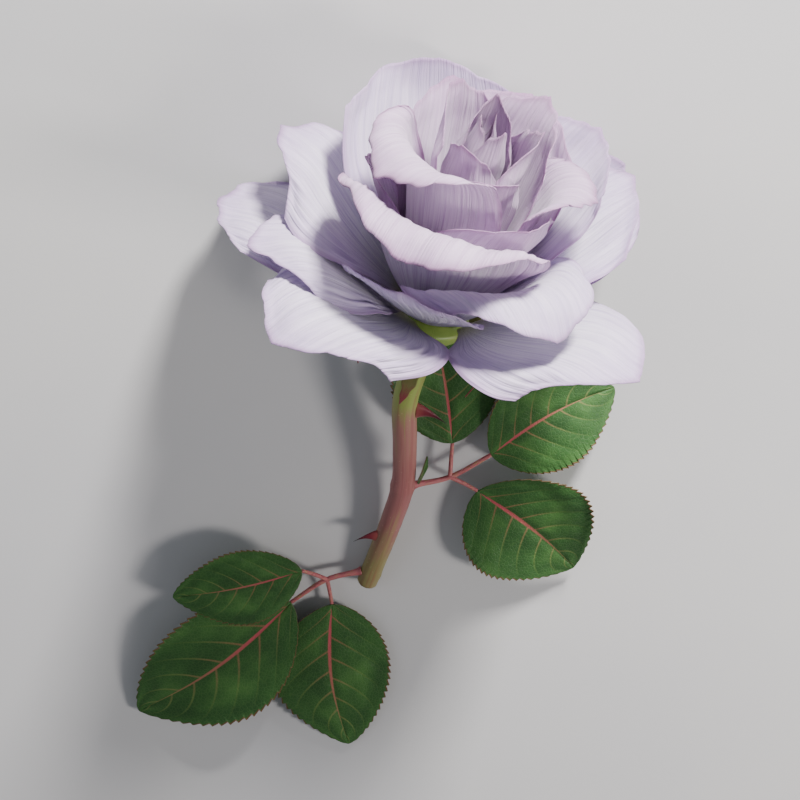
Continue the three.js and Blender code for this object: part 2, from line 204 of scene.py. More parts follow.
def petal_points(p, u, v, nick=0.0, peak=0.0, arch=0.0):
    """Points of the petal's middle surface in the bloom's own frame.

    nick shortens the top margin, peak is an extra roll of both margins towards the tip, in radians, and
    arch draws the top margin up from both sides to a point.
    """
    side = np.abs(u)
    rounding = (TOP_ROUND + 0.1 * arch) * side ** (2.6 - 0.9 * arch)
    along = v * (1 - rounding * v) + TIP_POINT * v**6 * np.maximum(0, 1 - 2.5 * side) ** 2
    along = along - nick * v**10
    shares = np.linspace(0, REACH, STEPS + 1)
    r = np.interp(along, shares, p["r"])
    z = np.interp(along, shares, p["z"])
    lean = lean_at(p, along)
    half = half_width(p, v)
    flat = half * ROLL_START
    roll = np.where(u < 0, p["rolls"][0], p["rolls"][1]) * blend(v, 0.3, 0.85) + peak * blend(v, 0.55, 1)
    radius = (half - flat) / np.maximum(roll, 0.01)
    bend = np.maximum(0, side * half - flat) / radius
    across = np.where(bend > 0, flat + radius * np.sin(bend), side * half)
    inward = p["cup"] * side**2 * blend(v, 0, 0.7) + p["tilt"] * u * blend(v, 0, 0.3)
    inward = inward - radius * (1 - np.cos(bend))
    turn = p["turn"] + np.sign(u) * across / r
    reach = r - inward * np.cos(lean)
    return np.stack([reach * np.cos(turn), reach * np.sin(turn), z + inward * np.sin(lean)], axis=-1)


petals = [describe(row, index) for index, row in enumerate(petal_rows)]
print("longest petal:", max(p["length"] for p in petals), "mm")

# %% [markdown]
# ## Where the seat is in the frame
#
# The frame's origin is under the middle of the whole rose. The shift from the seat's millimetres to it could
# be typed in, but it would be wrong after any change of size. It is worked out instead, as the mean distance
# between each petal made here on the frame's own coarse grid and the same petal's box in the frame.

# %% Seat in the frame
COARSE_COLUMNS = 9
COARSE_ROWS = 8
coarse_u, coarse_v = np.meshgrid(np.linspace(-1, 1, COARSE_COLUMNS), np.linspace(0, 1, COARSE_ROWS))
shifts = []
for p in petals:
    points = pressed(petal_points(p, coarse_u, coarse_v) @ pose.T, p["level"]).reshape(-1, 3)
    low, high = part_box(p["name"])
    shifts.append((np.array(low) + np.array(high)) / 2 - (points.min(0) + points.max(0)) / 2 * mm)
seat = np.mean(shifts, axis=0)
print("seat in the frame, mm:", np.round(seat / mm, 2), "spread", np.round(np.std(shifts, axis=0) / mm, 3))

# %% [markdown]
# ## Making sheets and limbs
#
# A petal or leaf is a closed sheet: a front and a back face either side of the middle surface, joined round
# the rim. A limb is a tube of round rings, for the hip, stem, stalks and thorns. Solidify and a bevelled
# curve could make both. Writing the faces out lets the thickness change over a sheet and the radius along a
# limb, and lets every point keep three numbers for its finish: how far along the piece it is, how far out
# towards the side margin, and which face it is on.

# %% Mesh helpers


def lengths_along(points):
    """How far along the line each of its points is."""
    return np.concatenate([[0], np.cumsum(np.linalg.norm(np.diff(points, axis=0), axis=1))])


def square_to(direction, line):
    """The part of a direction that is square to a line, one unit long."""
    across = np.array(direction, float)
    across -= line * (across @ line)
    return across / np.linalg.norm(across)


def normals_of(points):
    """The unit normal at each point of a grid."""
    n = np.cross(np.gradient(points, axis=1), np.gradient(points, axis=0))
    return n / np.maximum(np.linalg.norm(n, axis=-1, keepdims=True), 1e-9)


def finished(name, points, faces, marks, uv, node, material):
    """A Blender object from points in the seat's millimetres, riding on the body and standing for a node."""
    mesh = bpy.data.meshes.new(name)
    mesh.from_pydata((seat + points * mm).tolist(), [], faces)
    for mark, values in marks.items():
        mesh.attributes.new(mark, "FLOAT", "POINT").data.foreach_set("value", values)
    corners = np.empty(len(mesh.loops), dtype=int)
    mesh.loops.foreach_get("vertex_index", corners)
    mesh.uv_layers.new(name="grown").data.foreach_set("uv", uv[corners].ravel())
    mesh.shade_smooth()
    mesh.materials.append(material)
    made = bpy.data.objects.new(name, mesh)
    bpy.context.collection.objects.link(made)
    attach(made, "root")
    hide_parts(node)
    return made


print("mesh helpers ready")

# %% Sheet maker


def sheet(name, points, u, v, thickness, node, material):
    """A closed sheet about a grid of points. thickness is a grid too, so it can thin towards the margin."""
    rows, columns = u.shape
    n = normals_of(points)
    half = (thickness / 2)[..., None]
    both = np.concatenate([(points + n * half).reshape(-1, 3), (points - n * half).reshape(-1, 3)])
    grid = np.arange(rows * columns).reshape(rows, columns)
    a, b, c, d = grid[:-1, :-1], grid[:-1, 1:], grid[1:, 1:], grid[1:, :-1]
    front = np.stack([a, b, c, d], axis=-1).reshape(-1, 4)
    back = np.stack([a, d, c, b], axis=-1).reshape(-1, 4) + rows * columns
    ring = np.concatenate([grid[0, :-1], grid[:-1, -1], grid[-1, :0:-1], grid[:0:-1, 0]])
    after = np.roll(ring, -1)
    rim = np.stack([after, ring, ring + rows * columns, after + rows * columns], axis=-1)
    faces = np.concatenate([front, back, rim]).tolist()
    marks = {
        "along": np.tile(v.ravel(), 2),
        "side": np.tile(np.abs(u).ravel(), 2),
        "outer": np.repeat([0.0, 1.0], rows * columns),
    }
    uv = np.tile(np.stack([u.ravel() / 2 + 0.5, v.ravel()], axis=-1), (2, 1))
    return finished(name, both, faces, marks, uv, node, material)


print("sheet maker ready")

# %% Limb maker


def limb(name, middle, radii, sides, node, material, stretch=(1, 1), first=(0, 0, 1), swell=None):
    """Round rings along the middle points, closed at both ends. swell(angle, share) changes the radius."""
    middle = np.asarray(middle, float)
    count = len(middle)
    tangent = np.gradient(middle, axis=0)
    tangent /= np.linalg.norm(tangent, axis=1, keepdims=True)
    angle = np.linspace(0, 2 * np.pi, sides, endpoint=False)
    share = np.linspace(0, 1, count)
    rings = []
    x = first
    for i in range(count):
        x = square_to(x, tangent[i])
        y = np.cross(tangent[i], x)
        r = radii[i] * (1 if swell is None else swell(angle, share[i]))
        across = np.outer(r * np.cos(angle) * stretch[0], x) + np.outer(r * np.sin(angle) * stretch[1], y)
        rings.append(middle[i] + across)
    points = np.concatenate(rings + [middle[:1], middle[-1:]])
    faces = []
    last = count * sides
    for k in range(sides):
        after = (k + 1) % sides
        for i in range(count - 1):
            a = i * sides
            faces.append((a + k, a + after, a + sides + after, a + sides + k))
        faces.append((last, after, k))
        faces.append((last + 1, last - sides + k, last - sides + after))
    along = np.concatenate([np.repeat(share, sides), [0, 1]])
    around = np.concatenate([np.tile(angle / (2 * np.pi), count), [0, 0]])
    marks = {"along": along, "side": np.abs(2 * around - 1), "outer": np.ones(len(points))}
    uv = np.stack([around, along], axis=-1)
    return finished(name, points, faces, marks, uv, node, material)


CURVE_SAMPLES = 40


def curve(points, count):
    """Evenly spaced points on a centripetal Catmull-Rom curve through the given ones."""
    p = np.asarray(points, float)
    p = np.concatenate([[2 * p[0] - p[1]], p, [2 * p[-1] - p[-2]]])
    line = []
    for i in range(1, len(p) - 2):
        gaps = np.sqrt(np.linalg.norm(np.diff(p[i - 1 : i + 3], axis=0), axis=1))
        t0, t1, t2, t3 = np.concatenate([[0], np.cumsum(gaps)])
        for t in np.linspace(t1, t2, CURVE_SAMPLES, endpoint=i == len(p) - 3):
            a1 = ((t1 - t) * p[i - 1] + (t - t0) * p[i]) / (t1 - t0)
            a2 = ((t2 - t) * p[i] + (t - t1) * p[i + 1]) / (t2 - t1)
            a3 = ((t3 - t) * p[i + 1] + (t - t2) * p[i + 2]) / (t3 - t2)
            b1 = ((t2 - t) * a1 + (t - t0) * a2) / (t2 - t0)
            b2 = ((t3 - t) * a2 + (t - t1) * a3) / (t3 - t1)
            line.append(((t2 - t) * b1 + (t - t1) * b2) / (t2 - t1))
    line = np.array(line)
    far = lengths_along(line)
    even = np.linspace(0, far[-1], count)
    return np.stack([np.interp(even, far, line[:, k]) for k in range(3)], axis=-1)


print("limb maker ready")

# %% [markdown]
# ## Finishes, and how they are grown
#
# A living surface is never one colour. Pictures wrapped on it would blur close by and stretch where it
# bends. Each finish below is grown instead, from the numbers that every point carries, from noise stretched
# along the piece, and from formulas in its own across and along directions.

# %% Finish maker


class Finish:
    """A node material with short ways to add and join nodes."""

    SHEEN_ROUGHNESS = 0.5

    def __init__(self, name, roughness, specular=0.4, sheen=0.0):
        self.material = bpy.data.materials.new(name)
        self.material.use_nodes = True
        self.tree = self.material.node_tree
        self.shader = self.tree.nodes["Principled BSDF"]
        self.shader.inputs["Roughness"].default_value = roughness
        self.shader.inputs["Specular IOR Level"].default_value = specular
        self.shader.inputs["Sheen Weight"].default_value = sheen
        self.shader.inputs["Sheen Roughness"].default_value = self.SHEEN_ROUGHNESS

    def node(self, kind, **values):
        made = self.tree.nodes.new(kind)
        for name, value in values.items():
            setattr(made, name, value)
        return made

    def join(self, source, target):
        self.tree.links.new(source, target)

    def mark(self, name):
        """One of the numbers that every point carries."""
        return self.node("ShaderNodeAttribute", attribute_name=name).outputs["Fac"]

    def math(self, operation, a, b=0.0):
        made = self.node("ShaderNodeMath", operation=operation)
        for socket, value in zip(made.inputs, (a, b)):
            if isinstance(value, (int, float)):
                socket.default_value = value
            else:
                self.join(value, socket)
        return made.outputs[0]

    def step(self, value, low, high, start=0.0, end=1.0):
        """A smooth step from start to end while the value goes from low to high."""
        made = self.node("ShaderNodeMapRange", interpolation_type="SMOOTHSTEP")
        self.join(value, made.inputs["Value"])
        for name, number in (("From Min", low), ("From Max", high), ("To Min", start), ("To Max", end)):
            made.inputs[name].default_value = number
        return made.outputs["Result"]

    def across_along(self):
        """The piece's own directions: both together, then across and along by themselves."""
        uv = self.node("ShaderNodeUVMap", uv_map="grown")
        parts = self.node("ShaderNodeSeparateXYZ")
        self.join(uv.outputs["UV"], parts.inputs["Vector"])
        return uv.outputs["UV"], parts.outputs["X"], parts.outputs["Y"]

    def noise(self, stretch, detail=3.0, grown=True):
        """Noise stretched in the piece's own directions, or in space if it isn't grown."""
        mapping = self.node("ShaderNodeMapping")
        if grown:
            self.join(self.across_along()[0], mapping.inputs["Vector"])
        else:
            self.join(self.node("ShaderNodeTexCoord").outputs["Object"], mapping.inputs["Vector"])
        mapping.inputs["Scale"].default_value = stretch
        made = self.node("ShaderNodeTexNoise")
        made.inputs["Scale"].default_value = 1
        made.inputs["Detail"].default_value = detail
        self.join(mapping.outputs["Vector"], made.inputs["Vector"])
        return made.outputs["Fac"]

    def ramp(self, value, *stops):
        """A colour for each value, from stops of a place and six hex digits."""
        made = self.node("ShaderNodeValToRGB")
        self.join(value, made.inputs["Fac"])
        elements = made.color_ramp.elements
        while len(elements) < len(stops):
            elements.new(0.5)
        for element, (place, color) in zip(elements, stops):
            element.position = place
            element.color = (*linear(color), 1)
        return made.outputs["Color"]

    def mix(self, amount, a, b):
        """Colour a where the amount is 0, and colour b where it is 1."""
        made = self.node("ShaderNodeMix", data_type="RGBA", blend_type="MIX")
        self.join(amount, made.inputs["Factor"])
        for socket, color in ((made.inputs[6], a), (made.inputs[7], b)):
            if isinstance(color, str):
                socket.default_value = (*linear(color), 1)
            else:
                self.join(color, socket)
        return made.outputs[2]

    def bump(self, height, depth, strength):
        """Shallow relief, its depth in millimetres."""
        made = self.node("ShaderNodeBump")
        made.inputs["Distance"].default_value = depth * mm
        made.inputs["Strength"].default_value = strength
        self.join(height, made.inputs["Height"])
        self.join(made.outputs["Normal"], self.shader.inputs["Normal"])

    def color(self, color, glow=0.0):
        """Sets the colour. glow is the share of light that passes through the thin sheet."""
        self.join(color, self.shader.inputs["Base Color"])
        if glow:
            through = self.node("ShaderNodeBsdfTranslucent")
            self.join(color, through.inputs["Color"])
            both = self.node("ShaderNodeMixShader")
            both.inputs["Fac"].default_value = glow
            self.join(self.shader.outputs["BSDF"], both.inputs[1])
            self.join(through.outputs["BSDF"], both.inputs[2])
            self.join(both.outputs["Shader"], self.tree.nodes["Material Output"].inputs["Surface"])
        return self.material


def linear(color):
    """The light values of a colour given as six hex digits."""
    parts = [int(color[k : k + 2], 16) / 255 for k in (0, 2, 4)]
    return [c / 12.92 if c <= 0.04045 else ((c + 0.055) / 1.055) ** 2.4 for c in parts]


print("finish maker ready")

# %% [markdown]
# ## Petal finish
#
# A petal is almost white at its heart and turns lilac towards the margins, with a rosy line on the lip
# where the tissue thins. Fine veins fan out from the claw, so they run along the petal and show both as
# slightly deeper streaks and as shallow ridges. One set of stretched noise could feed only the bump, but
# the same noise drives both colour and bump here, so a streak is always also a ridge. The tissue is thin
# and watery, so some light passes through. The inner petals are rosier than the outer ones, so one function
# makes both finishes.

# %% Petal finish
CLAW_COLOR = "DDE0B8"
PETAL_GLOW = 0.22


def petal_finish(name, heart, pale, deep, streak, lip):
    f = Finish(name, roughness=0.52, specular=0.3, sheen=0.25)
    along = f.mark("along")
    side = f.mark("side")
    streaks = f.noise((52, 1.6, 1), detail=4)
    veins = f.noise((120, 3.0, 1), detail=2)
    clouds = f.noise((2.5, 2.5, 1), detail=3)
    reach = f.math("MAXIMUM", f.math("POWER", side, 1.6), f.math("POWER", along, 2.2))
    reach = f.math("ADD", reach, f.math("MULTIPLY", f.math("SUBTRACT", clouds, 0.5), 0.5))
    color = f.ramp(reach, (0.1, heart), (0.5, pale), (0.95, deep))
    color = f.mix(f.step(streaks, 0.44, 0.7, 0, 0.42), color, streak)
    color = f.mix(f.step(veins, 0.48, 0.66, 0, 0.32), color, streak)
    edge = f.math("MAXIMUM", f.step(side, 0.93, 1.0), f.step(along, 0.955, 1.0))
    edge = f.math("MULTIPLY", edge, f.step(clouds, 0.3, 0.6, 0.35, 1.0))
    color = f.mix(f.math("MULTIPLY", edge, 0.75), color, lip)
    color = f.mix(f.step(along, 0.16, 0.0, 0, 0.8), color, CLAW_COLOR)
    height = f.math("ADD", f.math("MULTIPLY", streaks, 0.7), f.math("MULTIPLY", veins, 0.4))
    f.bump(height, 0.8, 1.0)
    return f.color(color, glow=PETAL_GLOW)


inner_petal = petal_finish("petal_inner", "F5EEF8", "EADBEE", "D6BADB", "BA96C2", "A2709F")
outer_petal = petal_finish("petal_outer", "F6F4FB", "E9E1F3", "D5C3E4", "B5A2CE", "A883B3")
print("petal finishes:", inner_petal.name, outer_petal.name)

# %% [markdown]
# ## Petals
#
# Each petal is its grown surface on a fine grid. Long ribs fan from the claw, deepen towards the margin and
# fade at its very edge. The margin itself ripples, the top is nicked and uneven, and the last few millimetres
# curl over. A displacement map could add these, but real points cast real shadows and stay in the exported
# mesh. The sheet is thickest at the claw and thins to the margin. A seed from the petal's number makes each
# one differ.

# %% Waves


def waves(dice, u, v, low, high, count=4):
    """A few crossing waves with between low and high turns over the sheet."""
    total = np.zeros_like(u)
    for _ in range(count):
        turns = dice.uniform(low, high)
        slant = dice.uniform(0, 2 * np.pi)
        total += np.sin(np.pi * turns * (u * np.cos(slant) + 1.3 * v * np.sin(slant)) + dice.uniform(0, 7))
    return total / count


print("waves ready")

# %% Petal sheets
ACROSS = 121
ALONG = 61
OUTWARD = -1  # a sheet's normal points to the bloom's axis, so outward is the other way
PETAL_SEED = 100
INNER_PETALS = 16
FOLD_ROLL = math.radians(50)  # how much further the margins roll on petals that fold down
PLAIN_HALF = 30  # the half width that the ripples are sized for
RIPPLE = 1.35
FLUTTER = 0.22
CURL = 0.9
HEART_CURL = 1.9
CLAW_SHEET = 0.42
MARGIN_THINNING = 0.2


def grow_petal(p):
    """One petal as a fine closed sheet. Ripples, ribs and curls are heights off the sheet in millimetres."""
    dice = np.random.default_rng(PETAL_SEED + p["index"])
    u, v = np.meshgrid(np.sin(np.linspace(-1, 1, ACROSS) * np.pi / 2), np.linspace(0, 1, ALONG) ** 0.85)
    nick = 0.018 * waves(dice, u, v * 0, 3, 8) + 0.012 * np.maximum(0, waves(dice, u, v * 0, 12, 22)) ** 2
    outer = blend(p["out"], 0.5, 0.75)
    folded = outer * blend(p["tip"], 60, 100) * blend(-p["middle"], -78, -66)
    points = petal_points(p, u, v, nick, peak=FOLD_ROLL * folded, arch=folded)
    side = np.abs(u)
    margin = np.maximum(blend(side, 0.55, 1), blend(v, 0.72, 1))
    size = p["half"] / PLAIN_HALF
    ripple = RIPPLE * size * waves(dice, u, v, 2, 5) * margin * blend(v, 0.25, 0.8)
    flutter = FLUTTER * size * waves(dice, u, v, 7, 12) * margin**2 * blend(v, 0.4, 0.9)
    strength = 0.07 + 0.17 * blend(p["out"], 0.4, 0.6)
    fan = np.sin(2 * np.pi * 8 * u + 5 * waves(dice, u, v, 0.5, 1.5))
    fan += 0.7 * np.sin(2 * np.pi * 13 * u + 6 * waves(dice, u, v, 0.5, 2))
    ribs = strength * fan * blend(v, 0.15, 0.6) * (0.35 + 0.65 * margin)
    ribs *= 1 - 0.85 * np.maximum(blend(v, 0.86, 1), blend(side, 0.86, 1))
    lip = blend(v, 0.93 - 0.09 * (1 - outer), 1.04)
    curl = CURL + HEART_CURL * (1 - outer)
    curl = curl * np.maximum(0.6 * blend(side, 0.86, 1.08), lip) * blend(v, 0.4, 0.8)
    points += normals_of(points) * (ripple + flutter + ribs + curl * OUTWARD)[..., None]
    points = pressed(points @ pose.T, p["level"])
    thickness = CLAW_SHEET - MARGIN_THINNING * np.maximum(side**4, v**4)
    inner = p["index"] < INNER_PETALS
    slot, finish = ("petal_inner", inner_petal) if inner else ("petal_outer", outer_petal)
    return sheet(p["name"] + "_grown", points, u, v, thickness, p["name"], finish)


grown = [grow_petal(p) for p in petals]
print("petals grown:", len(grown), "with", sum(len(o.data.polygons) for o in grown), "faces")

# %% [markdown]
# ## Hip
#
# The hip is the green cup that becomes the fruit. A screw modifier could turn it from its profile, but a limb
# with that profile as its radii can also swell a little unevenly, as a real hip does.

# %% Hip
GAP = 0.35
HIP_LENGTH = 15
HIP_BULGE = 1
HIP_RINGS = 60
HIP_SIDES = 64
STEM_RADIUS = 3.8

skin = Finish("hip_skin", roughness=0.42)
mottle = skin.noise((6, 3, 1), detail=4)
skin.bump(skin.noise((40, 6, 1)), 0.15, 0.4)
hip_skin = skin.color(skin.ramp(mottle, (0.3, "5F7A34"), (0.55, "7F9648"), (0.75, "A3A55A")))

rim = SEAT_OUTER + HIP_BULGE
top = -GAP - PETAL_THICKNESS
slope = SEAT_DROP / (SEAT_OUTER - SEAT_INNER)
profile = [
    (0.05, top),
    (SEAT_INNER, top),
    (rim - 0.4, top - slope * (rim - SEAT_INNER)),
    (rim, -SEAT_DROP - HIP_BULGE - PETAL_THICKNESS - 0.4),
    (0.88 * rim, -0.55 * HIP_LENGTH),
    (0.62 * rim, -0.78 * HIP_LENGTH),
    (1.1 * STEM_RADIUS, -0.95 * HIP_LENGTH),
    (STEM_RADIUS, -HIP_LENGTH - GAP),
]
profile = np.array(profile)
far = lengths_along(profile)
fine = np.linspace(0, far[-1], HIP_RINGS)
radii = np.convolve(np.pad(np.interp(fine, far, profile[:, 0]), 2, mode="edge"), np.ones(5) / 5, "valid")
heights = np.interp(fine, far, profile[:, 1]) - 0.002 * fine  # the flat top sinks a hair outwards
middle = np.outer(heights, axis)
made = limb(
    "hip_grown", middle, radii, HIP_SIDES, "hip", hip_skin,
    swell=lambda angle, share: 1 + 0.02 * np.sin(5 * angle + 1) * math.sin(math.pi * share),
)
print("hip:", len(made.data.polygons), "faces, widest", round(2 * float(radii.max()), 1), "mm")

# %% [markdown]
# ## Sepals
#
# Five narrow green sepals once wrapped the bud. In an open bloom they fold back from under the hip's rim,
# taper to a thread and redden at the tip. They could be cut from a flat outline and bent, but the sheet
# maker gives the fold, the taper and the wavy margin in one go. The waves start at a different place on
# each sepal.

# %% Sepals
SEPALS = 5
SEPAL_LENGTH = 26
SEPAL_WIDTH = 7
SEPAL_THICKNESS = 0.7
SEPAL_FIRST_TURN = 54
SEPAL_LEAN = (96, 198)
SEPAL_STEPS = 24
SEPAL_WANDER = 1.7

leafy = Finish("sepal", roughness=0.55)
redden = leafy.math("ADD", leafy.mark("along"), leafy.math("MULTIPLY", leafy.noise((5, 9, 1)), 0.3))
leafy.bump(leafy.noise((30, 4, 1)), 0.2, 0.5)
sepal_skin = leafy.color(leafy.ramp(redden, (0.3, "4E6F38"), (0.75, "7A7040"), (1.0, "8E3B40")), glow=0.1)


def sepal_points(turn, u, v, wander):
    """Points of a sepal's middle surface in the bloom's own frame."""
    r = np.full_like(v, SEAT_OUTER + HIP_BULGE + GAP + SEPAL_THICKNESS)
    z = np.full_like(v, -SEAT_DROP - HIP_BULGE - SEPAL_THICKNESS)
    foot_lean, tip_lean = SEPAL_LEAN
    for i in range(SEPAL_STEPS):
        lean = np.radians(foot_lean + (tip_lean - foot_lean) * blend(i * v / SEPAL_STEPS, 0, 0.6))
        r = r + SEPAL_LENGTH * v / SEPAL_STEPS * np.sin(lean)
        z = z + SEPAL_LENGTH * v / SEPAL_STEPS * np.cos(lean)
    half = SEPAL_WIDTH / 2 * (0.04 + 0.96 * (1 - v) ** 0.8 * np.minimum(1, 0.6 + v * 2))
    half = half * (1 + 0.12 * np.sin(26 * v + wander))
    angle = turn + (u * half + 1.2 * v**2 * math.sin(wander)) / r
    r = r + 0.5 * np.abs(u) ** 2 * (1 - v)
    return np.stack([r * np.cos(angle), r * np.sin(angle), z], axis=-1)


u, v = np.meshgrid(np.linspace(-1, 1, 13), np.linspace(0, 1, 60))
for i in range(SEPALS):
    turn = math.radians(SEPAL_FIRST_TURN + 360 / SEPALS * i)
    points = sepal_points(turn, u, v, SEPAL_WANDER * i) @ pose.T
    thickness = SEPAL_THICKNESS * (1 - 0.6 * np.abs(u) ** 2) * (1 - 0.5 * v)
    sheet(f"sepal_{i + 1}_grown", points, u, v, thickness, f"sepal_{i + 1}", sepal_skin)
print("sepals:", SEPALS)

# %% [markdown]
# ## Stem
#
# The stem leaves the hip along the bloom's axis, sinks to the table and ends in the cut. It is green at the
# neck, pink-red where the sun reached it and olive at the cut, with fine streaks along it and pale pores. A
# bevelled curve would make a plain tube. Rings with their own radii also give the swellings where the leaves
# join and the rounded edge of the cut.

# %% Stem bark
bark = Finish("stem_bark", roughness=0.42, specular=0.45)
streak = bark.noise((14, 3, 1), detail=4)
patch = bark.noise((2.5, 5, 1), detail=2)
place = bark.math("ADD", bark.mark("along"), bark.math("MULTIPLY", bark.math("SUBTRACT", patch, 0.5), 0.3))
color = bark.ramp(
    place,
    (0.0, "86A046"),
    (0.22, "93A052"),
    (0.34, "A5746A"),
    (0.55, "A66A68"),
    (0.72, "9A6660"),
    (0.88, "8A8052"),
)
color = bark.mix(bark.step(streak, 0.45, 0.7, 0, 0.5), color, "8A4644")
color = bark.mix(bark.step(bark.noise((9, 2, 1), detail=3), 0.55, 0.7, 0, 0.45), color, "9AA05A")
pores = bark.node("ShaderNodeTexVoronoi")
pores.inputs["Scale"].default_value = 1
spread = bark.node("ShaderNodeMapping")
spread.inputs["Scale"].default_value = (14, 60, 1)
bark.join(bark.across_along()[0], spread.inputs["Vector"])
bark.join(spread.outputs["Vector"], pores.inputs["Vector"])
color = bark.mix(bark.step(pores.outputs["Distance"], 0.16, 0.05, 0, 0.4), color, "D9B79A")
bark.bump(streak, 0.25, 0.5)
stem_bark = bark.color(color)
print("stem finish:", stem_bark.name)

# %% Stem
STEM_TAPER = 0.84
STEM_RINGS = 160
STEM_SIDES = 40
LEAF_JOINTS = (0.57, 0.95)  # where the right and the left leaf join, as shares of the stem's length
stem_end = STEM_RADIUS * STEM_TAPER - SEAT_HEIGHT
stem_top = axis * (-HIP_LENGTH - GAP)
stem_line = [
    stem_top,
    stem_top - 5 * axis,
    (-8.5, -34.5, -10),
    (-8.6, -50, -13.5),
    (-9.2, -66, -17.5),
    (-12.6, -80, -21),
    (-20.6, -104.8, stem_end),
]
stem = curve(stem_line, STEM_RINGS)
share = np.linspace(0, 1, STEM_RINGS)


def stem_radius(share):
    """The stem's radius without its swellings, at a share of its length."""
    return STEM_RADIUS * (1 + (STEM_TAPER - 1) * share)


def knuckle(joint, height, spread):
    """A swelling round the stem where a leaf joins."""
    return height * np.exp(-(((share - joint) / spread) ** 2))


knuckles = knuckle(LEAF_JOINTS[0], 0.28, 0.02) + knuckle(LEAF_JOINTS[1], 0.2, 0.015)
rounded = np.sqrt(np.clip((1 - share) / 0.012, 0.0, 1)) * 0.45 + 0.55  # the edge of the cut
radii = (stem_radius(share) + knuckles) * rounded
limb("stem_grown", stem, radii, STEM_SIDES, "stem", stem_bark)
print("stem length:", round(float(lengths_along(stem)[-1]), 1), "mm")

# %% [markdown]
# ## Thorns
#
# A rose's thorn is skin, not wood: a flat blade with a long base along the stem, hooked towards the cut
# end. It is crimson, and almost black at its point. A cone would be too round and straight, so it is a limb
# along a hooked line, stretched along the stem. Leaves grow from the stem too, so the place on it has its
# own helper.

# %% Places on the stem


def on_stem(at):
    """The stem's middle, its direction towards the cut and its radius, at a share of its length."""
    i = at * (len(stem) - 1)
    middle = np.array([np.interp(i, np.arange(len(stem)), stem[:, k]) for k in range(3)])
    down = stem[int(i) + 1] - stem[int(i)]
    return middle, down / np.linalg.norm(down), stem_radius(at)


print("half way down the stem, mm:", np.round(on_stem(0.5)[0], 1))

# %% Thorns
THORN_LENGTH = 9
THORN_RADIUS = 1.9
THORN_STRETCH = 1.5
THORN_FLATNESS = 0.8
THORN_HOOK = 0.28
THORN_SUNK = 0.25

horn = Finish("thorn", roughness=0.32, specular=0.5)
point = horn.math("ADD", horn.mark("along"), horn.math("MULTIPLY", horn.noise((4, 3, 1)), 0.2))
horn.bump(horn.noise((8, 5, 1)), 0.2, 0.4)
thorn_skin = horn.color(horn.ramp(point, (0.12, "8A4640"), (0.4, "70202E"), (0.8, "4A1220"), (1.0, "24080E")))


def thorn(name, at, outward, size):
    """A hooked thorn at a share of the stem's length, pointing outward. size 1 is a full-grown one."""
    base, down, radius = on_stem(at)
    out = square_to(outward, down)
    t = np.linspace(0, 1, 30)
    reach = THORN_LENGTH * size
    hook = np.outer(t, out) * reach + np.outer(THORN_HOOK * THORN_STRETCH * t * t, down) * reach
    radii = THORN_RADIUS * size * (0.03 + 0.97 * (1 - t) ** 1.7)
    start = base + out * (radius - THORN_SUNK)
    stretch = (THORN_STRETCH, THORN_FLATNESS)
    limb(name + "_grown", start + hook, radii, 24, name, thorn_skin, stretch, first=down)


thorn("thorn_upper", 0.26, (1, 0, 0.15), 1)
thorn("thorn_lower", 0.79, (-1, 0, 0.3), 0.75)
print("thorns: 2")

# %% [markdown]
# ## Leaf stalks
#
# A rose leaf is compound: one stalk runs from the stem to a fork and on to the end leaflet, with a short
# branch to each side leaflet. The stalk thickens where it joins the stem and is pink-red, like new growth.
# A skin modifier could grow the whole fork, but its radii are hard to steer. The branches are limbs of
# their own that start inside the stalk, so the fork shows no seam, and all three stand for the one stalk.

# %% Leaf rows
LEAF_THICKNESS = 0.6

# name, foot, tip, width, tilt about its length, bow of the midrib, arch, and how far the sides stand up
leaflets = [
    ("leaflet_left_end", (-44, -109.4, -21.5), (-95, -153.3, -26), 39, 4, 2, 4, 3),
    ("leaflet_left_near", (-31.4, -111.5, -24), (-27, -167, -27), 38, -4, -3, 1, -1),
    ("leaflet_left_far", (-40, -95, -16.5), (-80, -105, -17.5), 24, 8, 1, 1, 1),
    ("leaflet_right_end", (17.2, -57.8, -21.5), (53, -37, -25), 34, 6, 4, 3, 3),
    ("leaflet_right_upper", (5.6, -54, -22), (-2, -11, -25), 31, 0, -1, 1, 2),
    ("leaflet_right_lower", (13.3, -70, -21.5), (44, -99, -26), 42, 8, 3, 3, 3),
]
stipule = ("stipule", (-4.6, -65, -16.8), (-2, -54.5, -13.8), 3.4, 60, 0.4, 0.3, 0.3)
print("leaflet rows:", len(leaflets), "and a stipule")

# %% Leaf stalks
STALK_RADIUS = 1
STALK_PINCH = 0.7
STALK_SLIMMING = 0.9
STALK_SUNK = 0.2
STALK_FOOT = 0.8
BRANCH_SAG = (0, 0, -0.4)

rind = Finish("leaf_stalk", roughness=0.45, specular=0.4)
blush = rind.noise((3, 9, 1), detail=3)
rind.bump(rind.noise((10, 4, 1)), 0.15, 0.4)
stalk_skin = rind.color(rind.ramp(blush, (0.3, "8D4A4A"), (0.5, "B4656A"), (0.72, "A98A5E")))


